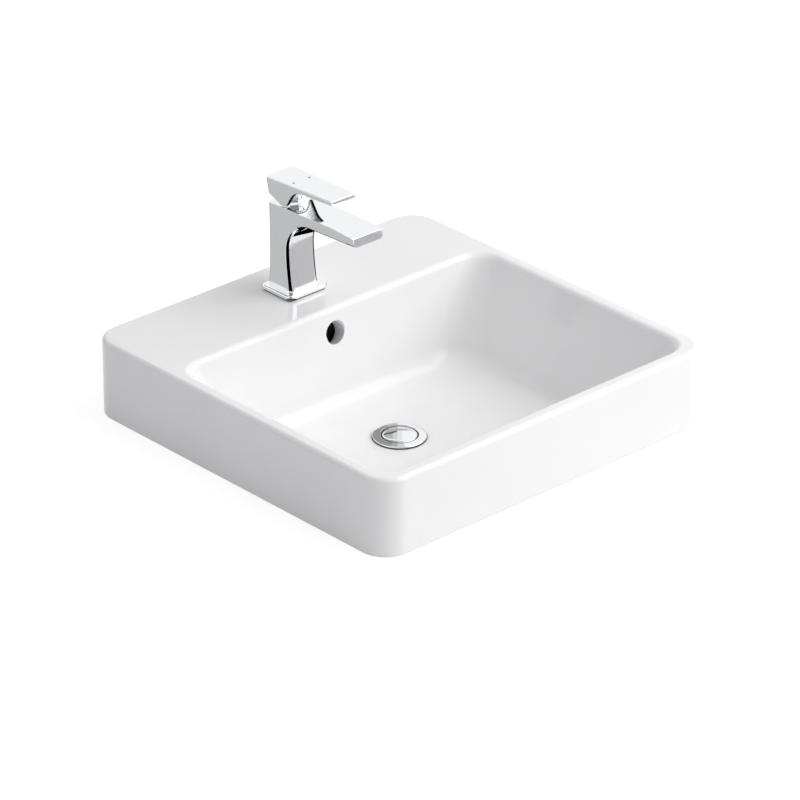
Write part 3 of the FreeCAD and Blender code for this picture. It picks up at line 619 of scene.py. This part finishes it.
def overflow_hole():
    """Round hole that falls towards the passage: a soft glazed lip, then a bare bore."""
    lip = OVERFLOW_LIP
    outline = [(0, -8), (OVERFLOW_RADIUS + lip, -8)]
    outline += arc((OVERFLOW_RADIUS + lip, lip), lip, 270, 180, 6)
    outline += [(OVERFLOW_RADIUS, PASSAGE_NEAR + 7), (0, PASSAGE_NEAR + 7)]
    place = Vector((0, bowl_back(OVERFLOW_HEIGHT), OVERFLOW_HEIGHT))
    inward = Vector((0, 1, -OVERFLOW_FALL)).normalized()
    hole = spun("overflow", outline, place, inward, 64)
    hole.data.materials.append(glaze)
    hole.data.materials.append(clay)
    for face in hole.data.polygons:
        depth = (face.center / MM - place).dot(inward)
        face.material_index = int(depth > lip)
    return hole


# Tap

def base_plate():
    """Rounded plate between the ledge and the tap."""
    bm = bmesh.new()
    bmesh.ops.create_cube(bm, size=1.0)
    size = (2 * PLATE_HALF_X, 2 * PLATE_HALF_Y, PLATE_TOP - PLATE_BOTTOM)
    bmesh.ops.scale(bm, vec=size, verts=bm.verts)
    bmesh.ops.translate(bm, vec=(0, TAP_Y + PLATE_BACK, (PLATE_TOP + PLATE_BOTTOM) / 2), verts=bm.verts)
    upright = [e for e in bm.edges if abs(e.verts[0].co.z - e.verts[1].co.z) > 1]
    bmesh.ops.bevel(bm, geom=upright, offset=PLATE_CORNER, offset_type="OFFSET", segments=10, profile=0.5,
                    affect="EDGES", material=-1)
    round_edges = [e for e in bm.edges if abs(e.verts[0].co.z - e.verts[1].co.z) < 0.1]
    bmesh.ops.bevel(bm, geom=round_edges, offset=PLATE_EDGE, offset_type="OFFSET", segments=6, profile=0.5,
                    affect="EDGES", material=-1)
    plate = as_object("tap_base_plate", bm)
    carve(plate, [drum("spigot_hole", SPIGOT_RADIUS + 0.2, PLATE_BOTTOM - 2, PLATE_TOP + 2, 0, TAP_Y)])
    return dress(plate, "basin", "chrome", "base_plate", sharp=40)


def column_front(z):
    """The column's front at height z, flared to its foot."""
    part = max(0.0, (WAIST - z) / (WAIST - PLATE_TOP))
    return COLUMN_FRONT - FRONT_FLARE * part ** FLARE_CURVE


def column_back(z):
    """The column's back at height z, flared to its foot and a little to its top."""
    if z < WAIST:
        return COLUMN_BACK + BACK_FLARE * ((WAIST - z) / (WAIST - PLATE_TOP)) ** FLARE_CURVE
    return COLUMN_BACK + BACK_SWELL * ((z - WAIST) / (BODY_TOP - WAIST)) ** SWELL_CURVE


def spout_top(y):
    """Height of the spout's top, which rises to its knee and falls to its tip."""
    if y > KNEE_Y:
        return BODY_TOP + KNEE_RISE * (SHOULDER_Y - y) / (SHOULDER_Y - KNEE_Y)
    return BODY_TOP + KNEE_RISE - TIP_FALL * (KNEE_Y - y) / (KNEE_Y - TIP_Y)


def body_section(back, front, inward):
    """Section of the tap: the corners of its flat back or top, then round its two front edges."""
    edge = BODY_EDGE + (SPOUT_EDGE - BODY_EDGE) * min(1.0, inward[1] / 0.8)
    turn = []
    for i in range(ROUND_STEPS + 1):
        angle = math.radians(90 * i / ROUND_STEPS)
        depth = edge * (1 - math.cos(angle))
        x = BODY_HALF_WIDTH - edge * (1 - math.sin(angle))
        turn.append((x, front[0] + inward[0] * depth, front[1] + inward[1] * depth))
    right = [(BODY_HALF_WIDTH, *back)] + turn[::-1]
    return right + [(-x, y, z) for x, y, z in right[::-1]]


def body_sections():
    """Sections up the column, round the arch and along the spout."""
    made = []
    for z in range(int(PLATE_TOP), int(WAIST), 4):
        made.append(body_section((column_back(z), z), (column_front(z), z), (1.0, 0.0)))
    for angle in range(0, ARCH_TURN + 1, 3):
        inward = (math.cos(math.radians(angle)), math.sin(math.radians(angle)))
        front = (ARCH_Y + ARCH_RADIUS * inward[0], ARCH_Z + ARCH_RADIUS * inward[1])
        if angle < SHOULDER_TURN:
            z = WAIST + (BODY_TOP - WAIST) * angle / SHOULDER_TURN
            back = (column_back(z), z)
        else:
            y = SHOULDER_Y - (SHOULDER_Y - ARCH_Y) * (angle - SHOULDER_TURN) / (ARCH_TURN - SHOULDER_TURN)
            back = (y, spout_top(y))
        made.append(body_section(back, front, inward))
    for y, lean in ((KNEE_Y, 0.0), (TIP_Y, TIP_RAKE)):
        made.append(body_section((y, spout_top(y)), (y - lean, under_spout(y - lean)), inward))
    return made


def under_spout(y):
    """Height of the spout's underside."""
    return UNDER_SPOUT + UNDER_SPOUT_RISE * (COLUMN_FRONT - y) / (COLUMN_FRONT - TIP_Y + TIP_RAKE)


def skin(sections):
    """Closed mesh through sections of equally many points, a loop of edges drawn out from one to the next."""
    bm = bmesh.new()
    place = bm.verts.layers.int.new("place")
    verts = [bm.verts.new(point) for point in sections[0]]
    for i, vert in enumerate(verts):
        vert[place] = i
    bm.faces.new(verts)
    loop = bm.edges[:]
    for points in sections[1:]:
        verts, loop = extend(bm, loop)
        for vert in verts:
            vert.co = points[vert[place]]
    bmesh.ops.edgeloop_fill(bm, edges=loop)
    bmesh.ops.remove_doubles(bm, verts=bm.verts, dist=0.002)
    bmesh.ops.dissolve_degenerate(bm, dist=0.001, edges=bm.edges)
    bmesh.ops.recalc_face_normals(bm, faces=bm.faces)
    bmesh.ops.dissolve_limit(bm, angle_limit=math.radians(0.2), verts=bm.verts, edges=bm.edges)
    return bm


def ease(bm, width, test, segments=3):
    """Rounds the sharp edges that pass a test of their middle."""
    sharp = [e for e in bm.edges if len(e.link_faces) == 2 and e.calc_face_angle() > math.radians(40)
             and test((e.verts[0].co + e.verts[1].co) / 2)]
    bmesh.ops.bevel(bm, geom=sharp, offset=width, offset_type="OFFSET", segments=segments, profile=0.5,
                    affect="EDGES", material=-1, clamp_overlap=False)


def tap_body():
    """Column, arch and spout in one, with the sockets and bores of what sits inside."""
    bm = skin(body_sections())
    foot = PLATE_TOP + 1
    ease(bm, REAR_EDGE, lambda m: m.z > foot and m.y > REAR_Y and abs(m.x) > BODY_HALF_WIDTH - 0.1, 6)
    ease(bm, FINE_EDGE, lambda m: m.z > foot)
    body = as_object("tap_body_shell", bm)
    top = BODY_TOP + KNEE_RISE
    carve(body, [drum("dome_recess", DOME_RADIUS + DOME_GAP, RECESS_FLOOR, top, 0, TAP_Y, 96),
                 drum("nut_thread", NUT_RADIUS, RECESS_FLOOR - 5, RECESS_FLOOR + 1, 0, TAP_Y),
                 drum("cartridge_socket", CARTRIDGE_RADIUS, SOCKET_FLOOR, RECESS_FLOOR + 1, 0, TAP_Y),
                 drum("aerator_bore", AERATOR_RADIUS, AERATOR_BOTTOM, AERATOR_TOP, 0, AERATOR_Y)])
    carve(body, [drum("spigot", SPIGOT_RADIUS, SPIGOT_BOTTOM, foot, 0, TAP_Y)], "UNION")
    below = SPIGOT_BOTTOM - 1
    inlet_y = TAP_Y - INLET_FORWARD
    holes = [drum("inlet", INLET_RADIUS, below, SPIGOT_BOTTOM + INLET_DEPTH, x, inlet_y)
             for x in (-INLET_X, INLET_X)]
    holes.append(drum("stud_hole", STUD_RADIUS, below, SPIGOT_BOTTOM + STUD_DEPTH, 0, TAP_Y + STUD_BACK))
    carve(body, holes)
    return dress(body, "basin", "chrome", "tap_body", sharp=38)


def dome_cap():
    """Thin dome round the lever's neck."""
    top = math.degrees(math.acos(DOME_MOUTH / DOME_RADIUS))
    foot = math.degrees(math.asin((RECESS_FLOOR - PIVOT) / DOME_RADIUS))
    outside = arc((0, 0), DOME_RADIUS, foot, top, 24)
    inside = arc((0, 0), DOME_RADIUS - DOME_WALL, top - 1, foot + 3, 16)
    dome = spun("lever_dome", outside + inside, (0, TAP_Y, PIVOT), ring=True)
    return dress(dome, "basin", "chrome", "dome_cap", edge=0.3, sharp=40)


def in_hollow(face):
    """Whether a face of the lever is in the hollow in front of its neck, which takes the painted shade."""
    middle = face.calc_center_median()
    return face.normal.y < -0.2 and abs(face.normal.x) < 0.3 and 150 < middle.y < 176 and middle.z < 233.5


def lever():
    """Flat arm, wider to its heel, with a neck hollowed over the dome."""
    bm = slab(LEVER_SIDE, 1.0)
    for vert in bm.verts:
        vert.co.x *= LEVER_TIP_HALF + LEVER_SPREAD * (vert.co.y - LEVER_TIP_Y)
    bmesh.ops.recalc_face_normals(bm, faces=bm.faces)
    ease(bm, HEEL_EDGE, lambda m: m.y > HEEL_Y and abs(m.x) > 15, 10)
    ease(bm, LEVER_EDGE, lambda m: True)
    # Faces in the hollow take the painted shade material.
    for face in bm.faces:
        face.material_index = int(in_hollow(face))
    arm = as_object("lever_arm", bm)
    ball = spun("ball", arc((0, 0), DOME_RADIUS + BALL_GAP, -90, 90, 48), (0, TAP_Y, PIVOT))
    arm.data.materials.append(chrome)
    arm.data.materials.append(recess_painted_shade)
    # The neck's cut over the dome takes the painted shade too.
    ball.data.materials.append(recess_painted_shade)
    carve(arm, [ball])
    return dress(arm, "handle", "chrome", "lever", sharp=38)


def dots():
    """Red and blue inlays in the lever's top."""
    for name, side, slot, node in (("hot", -1, "red", "hot_dot"), ("cold", 1, "blue", "cold_dot")):
        place = (side * DOT_X, TAP_Y - DOT_FORWARD, DOT_Z)
        dress(spun(name + "_mark", DOT_OUTLINE, place, (0, DOT_SLOPE, 1), 32), "handle", slot, node)


# Waste

def waste_body():
    """Flange and tube in one, with four windows that let the overflow in."""
    outline = [(TUBE_BORE, TUBE_END), (TUBE_RADIUS, TUBE_END), (TUBE_RADIUS, -33.8), (23.3, -31.4)]
    outline += [(23.3, FLANGE_UNDERSIDE), (FLANGE_RADIUS, FLANGE_UNDERSIDE), (FLANGE_RADIUS, -26.2)]
    outline += arc((FLANGE_RADIUS - 1.1, -26.0), 1.1, 0, 60, 5)
    outline += [(29.0, -24.7), (27.6, -24.45), (24.6, -24.4)]
    outline += arc((22.9, -25.7), 1.3, 80, 180, 6)
    outline += [(21.6, -29.0), (TUBE_BORE, -31.4)]
    waste = spun("waste_flange_and_tube", outline, ring=True)
    windows = []
    for angle in (45, 135):
        bm = bmesh.new()
        bmesh.ops.create_cube(bm, size=1.0)
        bmesh.ops.scale(bm, vec=WINDOW, verts=bm.verts)
        turn = Matrix.Rotation(math.radians(angle), 3, "Z")
        bmesh.ops.rotate(bm, cent=(0, 0, 0), matrix=turn, verts=bm.verts)
        bmesh.ops.translate(bm, vec=(0, 0, WINDOW_Z), verts=bm.verts)
        windows.append(as_object("window", bm))
    carve(waste, windows)
    dress(waste, "basin", "chrome", "waste_body", edge=0.25, sharp=35)


def waste_cap():
    """Cap with a slight crown."""
    crown = (CAP_RADIUS ** 2 + CAP_RISE ** 2) / (2 * CAP_RISE)
    outline = [(0, -32.2), (7.0, -32.2), (7.0, -27.2), (20.0, -27.2)]
    outline += [(CAP_RADIUS, -26.6), (CAP_RADIUS, -25.6), (20.45, -25.2), (20.1, -24.85)]
    outline += [(r, math.sqrt(crown ** 2 - r * r) - crown + CAP_TOP) for r in (19.4, 17, 14, 11.5, 9, 6, 3)]
    dress(spun("waste_cap", outline + [(0, CAP_TOP)]), "plug", "chrome", "plug_cap", edge=0.2, sharp=35)


def waste_rubber():
    """Cap's seal, whose lip shows round the cap, and the gasket, whose edge shows round the flange."""
    lip = [(15.2, -28.7), (20.6, -28.7), (21.2, -28.0), (21.4, -24.8), (20.75, -24.7), (20.75, -27.3)]
    seal = spun("waste_seal", lip + [(15.2, -27.3)], ring=True)
    dress(seal, "plug", "rubber", "plug_seal", sharp=35)
    edge = [(27.5, -28.0), (31.5, -28.0), (31.9, -27.6), (31.9, -26.9), (31.6, -26.65), (27.5, -26.65)]
    gasket = spun("waste_gasket", edge, ring=True)
    dress(gasket, "basin", "rubber", "flange_gasket", sharp=35)


# Stage, light and camera

def seen(tree):
    """1 for what the camera and mirrors see, 0 for light that only falls on things."""
    rays = add(tree, "ShaderNodeLightPath").outputs
    either = add(tree, "ShaderNodeMath", {0: rays["Is Camera Ray"], 1: rays["Is Glossy Ray"]},
                 operation="MAXIMUM")
    return add(tree, "ShaderNodeMath", {0: either.outputs[0], 1: rays["Is Transmission Ray"]},
               operation="MAXIMUM").outputs[0]


def paper_floor():
    """Pale floor at the counter's height, cut out for the bowl's underside."""
    bm = bmesh.new()
    bmesh.ops.create_circle(bm, cap_ends=False, segments=64, radius=FLOOR_RADIUS)
    outer = bm.edges[:]
    settle(bm, rounded_loop(bm), outer_ring(FLOOR_INSET, 0.0))
    bmesh.ops.triangle_fill(bm, use_beauty=True, edges=outer + [e for e in bm.edges if e not in outer])
    bmesh.ops.translate(bm, vec=(0, 0, -FLOOR_GAP), verts=bm.verts)
    made = as_object("floor", bm)
    material, tree = new_material("pale paper floor")
    paper = add(tree, "ShaderNodeBsdfDiffuse", {"Color": linear("#E8E8E8")})
    shadowed = add(tree, "ShaderNodeBsdfDiffuse", {"Color": linear("#A8A8A8")})
    white = add(tree, "ShaderNodeEmission", {"Color": linear("#FFFFFF"), "Strength": 0.78})
    lit = add(tree, "ShaderNodeAddShader", {0: shadowed.outputs[0], 1: white.outputs[0]})
    mix = add(tree, "ShaderNodeMixShader", {0: seen(tree), 1: paper.outputs[0], 2: lit.outputs[0]})
    show(tree, mix.outputs[0])
    made.data.materials.append(material)


def world():
    """White all round to the eye, and an even half light."""
    made = bpy.data.worlds.new("white studio")
    bpy.context.scene.world = made
    made.use_nodes = True
    tree = made.node_tree
    tree.nodes.clear()
    room = add(tree, "ShaderNodeBackground", {"Color": linear("#FDFCFF"), "Strength": 0.525})
    white = add(tree, "ShaderNodeBackground", {"Color": linear("#FFFFFF"), "Strength": 1.0})
    mix = add(tree, "ShaderNodeMixShader", {0: seen(tree), 1: room.outputs[0], 2: white.outputs[0]})
    add(tree, "ShaderNodeOutputWorld", {"Surface": mix.outputs[0]})


def card(name, corners, brightness, height=CARD_LEVEL, facing=1):
    """Level card that only mirrors see, from above or from below, for the greys and blacks of chrome."""
    bm = bmesh.new()
    bm.faces.new([bm.verts.new((x, y, height)) for x, y in corners])
    made = as_object(name, bm)
    if made.data.polygons[0].normal.z * facing < 0:
        made.data.flip_normals()
    hide(made, brightness)


def waste_card(name, corners, brightness):
    """Card over the waste, laid out across the view and away from it, for its flange and cap to mirror."""
    across = VIEW_RIGHT.xy
    away = Vector((-VIEW_RIGHT.y, VIEW_RIGHT.x))
    mirrored = -VIEW_BACK.xy * WASTE_CARD_GAP / VIEW_BACK.z
    places = [across * a + away * b + mirrored for a, b in corners]
    card(name, [tuple(place) for place in places], brightness, WASTE_CARD_LEVEL, -1)


def sector(inner, outer, start, end):
    """Corners of a piece of a ring between two angles."""
    return arc((0, 0), outer, start, end, 16) + arc((0, 0), inner, end, start, 16)


def hide(made, brightness):
    """Leaves a card for mirrors only, and clear from behind."""
    material, tree = new_material(made.name.replace("_", " "))
    tone = add(tree, "ShaderNodeEmission", {"Color": linear("#FFFFFF"), "Strength": brightness})
    clear = add(tree, "ShaderNodeBsdfTransparent")
    behind = add(tree, "ShaderNodeNewGeometry").outputs["Backfacing"]
    mix = add(tree, "ShaderNodeMixShader", {0: behind, 1: tone.outputs[0], 2: clear.outputs[0]})
    show(tree, mix.outputs[0])
    made.data.materials.append(material)
    made.visible_camera = False
    made.visible_diffuse = False
    made.visible_shadow = False
    made.visible_transmission = False


def upright_card(name, middle, heading, width, height, brightness):
    """Standing card that faces a heading: what mirrors that look that way see."""
    bm = bmesh.new()
    bmesh.ops.create_grid(bm, x_segments=1, y_segments=1, size=0.5)
    bmesh.ops.scale(bm, vec=(width, height, 1), verts=bm.verts)
    turn = Vector(heading).to_track_quat("Z", "Y").to_matrix().to_4x4()
    bmesh.ops.transform(bm, matrix=Matrix.Translation(middle) @ turn, verts=bm.verts)
    made = as_object(name, bm)
    if made.data.polygons[0].normal.dot(Vector(heading)) < 0:
        made.data.flip_normals()
    hide(made, brightness)


def fan(name, x, y, start, end, reach):
    """Black card that spreads from a corner of the tap between two headings."""
    ends = [(x + reach * math.cos(math.radians(a)), y + reach * math.sin(math.radians(a)))
            for a in (start, (start + end) / 2, end)]
    card(name, [(x, y)] + ends, 0.0)


def softbox(name, place, target, size, watts):
    """Large square lamp, in metres."""
    lamp = bpy.data.lights.new(name, "AREA")
    lamp.shape = "SQUARE"
    lamp.size = size
    lamp.energy = watts
    made = bpy.data.objects.new(name, lamp)
    bpy.context.scene.collection.objects.link(made)
    made.location = place
    made.rotation_euler = (Vector(target) - Vector(place)).to_track_quat("-Z", "Y").to_euler()


def camera():
    """The photograph's view: azimuth 42.5 degrees left of the front, 27.1 degrees up, a long lens."""
    lens = bpy.data.cameras.new("view")
    lens.sensor_width = 36.0
    lens.lens = VIEW_LENS * lens.sensor_width
    lens.clip_end = 50.0
    made = bpy.data.objects.new("view", lens)
    bpy.context.scene.collection.objects.link(made)
    right = VIEW_RIGHT.normalized()
    back = VIEW_BACK.normalized()
    up = back.cross(right).normalized()
    turn = Matrix((right, up, back)).transposed().to_4x4()
    made.matrix_world = Matrix.Translation(VIEW_PLACE * MM) @ turn
    bpy.context.scene.camera = made


basin()
base_plate()
tap_body()
dome_cap()
lever()
dots()
waste_body()
waste_cap()
waste_rubber()

paper_floor()
card("grey_card", [(-22.5, 150), (-22.5, 215), (-120, 450), (-330, 520), (-330, 320), (-180, 190)], 0.56)
fan("black_card_front", -17, 163, start=187, end=258, reach=240)
upright_card("black_card_under", (-1.2, 150, 145), heading=(0, -1, 0), width=42.6, height=90, brightness=0.0)
upright_card("grey_card_above", (-620, -500, 1020), heading=(0.5, 0.55, -0.67), width=1500, height=1500,
             brightness=0.30)
fan("black_card_right", 20, 165, start=-30, end=18, reach=220)
fan("black_card_back", -19, 198, start=91, end=111, reach=320)
upright_card("dark_card_left", (-252, 937, 1070), heading=(0.21, -0.656, -0.725), width=620, height=420,
             brightness=0.06)

# Round the flange, each card from one angle to another with its brightness
for start, end, brightness in ((150, 250, 0.32), (250, 265, 0.45), (265, 280, 0.68), (122, 150, 0.38),
                               (95, 122, 0.55)):
    waste_card("flange_card_%d" % start, sector(21.5, 37, start, end), brightness)
waste_card("dark_card_cap", [(-20, -3), (-9, -1.5), (-2.5, 5.5), (-3.5, 8.5), (-10, 5), (-20, 2.5)], 0.12)
waste_card("grey_card_cap", [(-20, 2.5), (-10, 5), (-3.5, 8.5), (8, 11), (14, 14), (8, 19), (0, 21),
                             (-10, 18.5), (-17, 12.5)], 0.45)
waste_card("pale_card_cap_left", [(-20, -3), (-9, -1.5), (-8, -17), (-14, -14), (-18, -9)], 0.50)
waste_card("pale_card_cap_middle", [(-9, -1.5), (-2.5, 5.5), (-3, -19), (-8, -17)], 0.70)
waste_card("pale_card_cap_right", [(-2.5, 5.5), (3, 7.5), (3, -19.5), (-3, -19)], 0.86)

world()
softbox("key", place=(1.5, -1.66, 2.05), target=(0, 0, 0.05), size=3.3, watts=83)
camera()
bpy.context.scene.view_settings.view_transform = "Standard"
